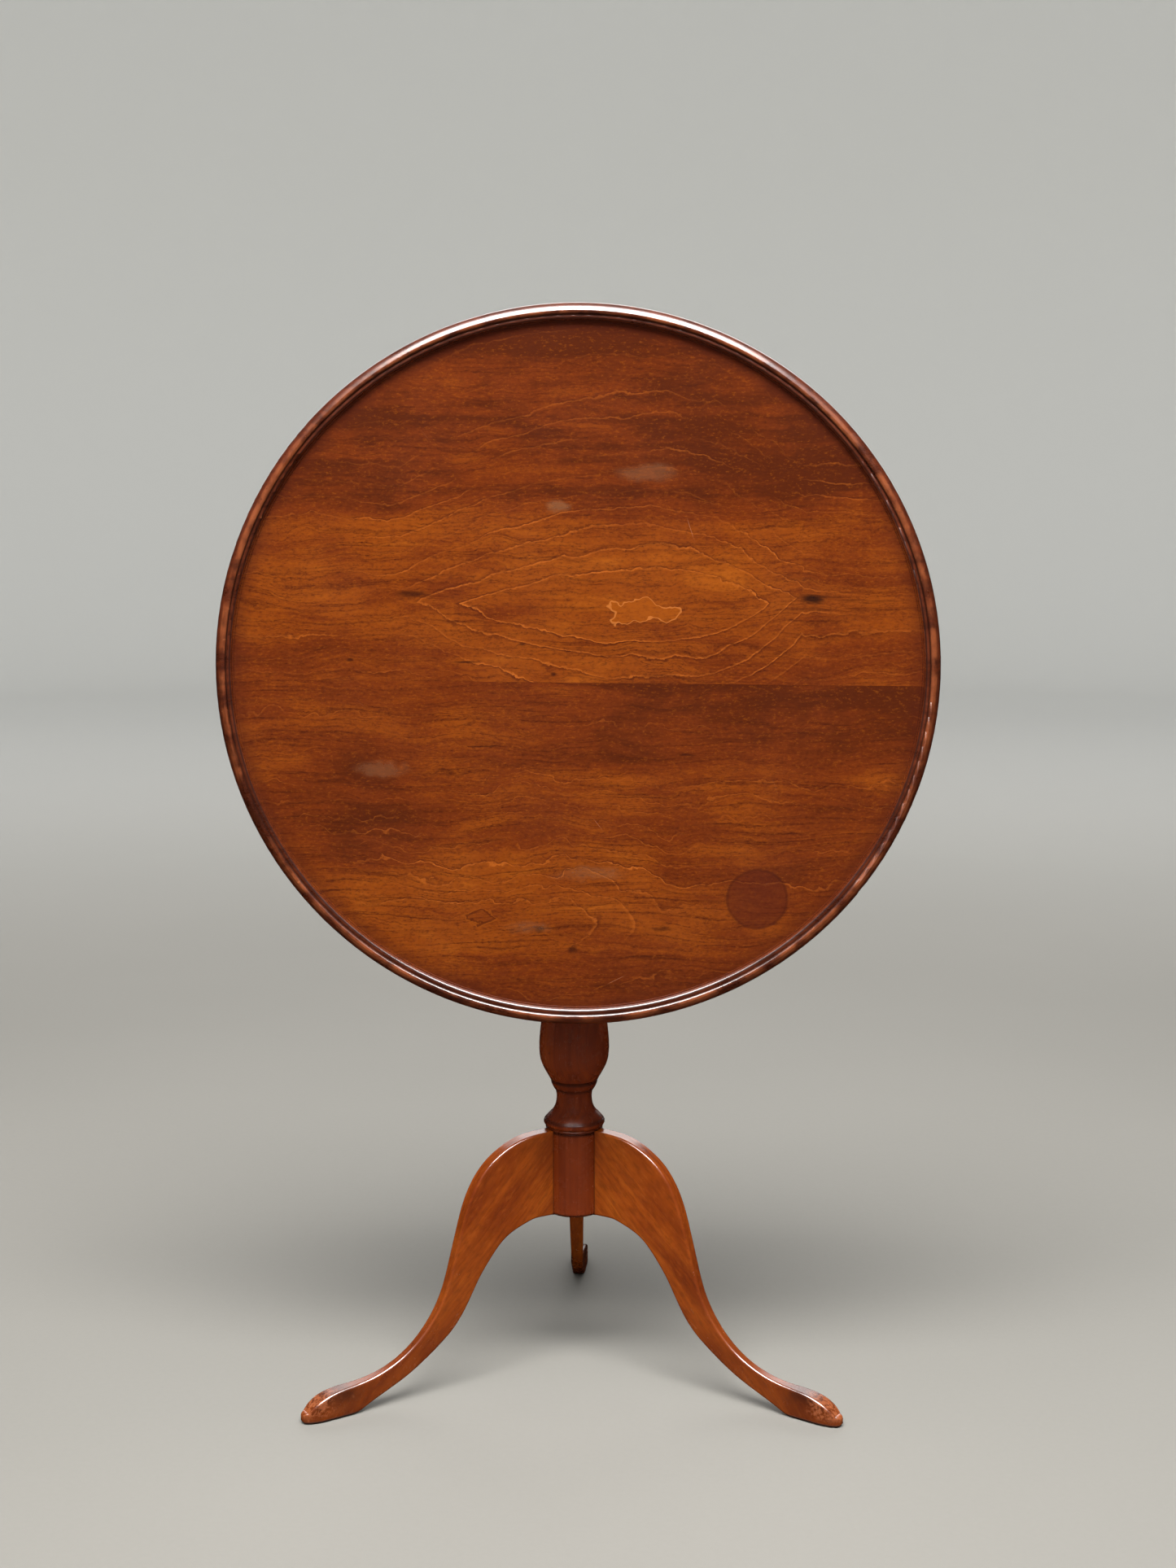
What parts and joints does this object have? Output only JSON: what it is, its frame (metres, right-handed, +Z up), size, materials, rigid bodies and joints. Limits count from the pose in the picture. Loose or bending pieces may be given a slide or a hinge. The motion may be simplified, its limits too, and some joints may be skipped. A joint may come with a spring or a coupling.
{
  "type": "tilt-top table",
  "caption": "Round dished table top on a turned pillar with cabriole tripod legs; the top tips up on a pivot block and locks level with a brass spring catch.",
  "frame": {"origin": "floor level, middle of the standing footprint (the pillar stands 79 mm in front of it)", "axes": "+Z up; the table faces -Y: at rest the dished face of the tipped-up top looks along -Y and the single back leg points along +Y; the pivot line runs along X"},
  "size_m": [0.7241, 0.4875, 1.1391],
  "materials": {
    "top_cherry": "aged cherry under worn semi-gloss varnish",
    "pillar_cherry": "dark red-brown turned cherry, semi-gloss",
    "leg_cherry": "cherry, polished arrises, darker worn feet",
    "under_wood": "dry, hand-planed, unvarnished",
    "wedge_oak": "dry end grain",
    "iron": "blackened iron",
    "brass": "aged, dull",
    "spring_steel": "dull wire"
  },
  "bodies": {
    "stand": {"pillar": "pillar_cherry", "leg_left": "leg_cherry", "leg_right": "leg_cherry", "leg_back": "leg_cherry", "pivot_block": "under_wood", "pivot_pin_left": "iron", "pivot_pin_right": "iron", "tenon_wedge": "wedge_oak", "strike_plate": "brass", "strike_screws": "brass"},
    "top": {"top_board_upper": "top_cherry", "top_board_lower": "top_cherry", "batten_left": "under_wood", "batten_right": "under_wood", "batten_screws": "iron", "catch_plate": "brass", "catch_case": "brass", "catch_screws": "brass", "catch_spring": "spring_steel"},
    "catch": {"catch_bolt": "brass", "catch_knob": "brass"}
  },
  "joints": [
    {"name": "top_tilt", "type": "hinge", "parent": "stand", "child": "top", "pos_m": [0, -0.169, 0.687], "axis": [-1, 0, 0], "range_deg": [0, 90]},
    {"name": "catch_slide", "type": "slide", "parent": "top", "child": "catch", "axis": [0, 0, 1], "range_m": [0, 0.008], "stiffness_N_per_m": 250, "springref_m": -0.012, "deforming": ["catch_spring"]}
  ]
}
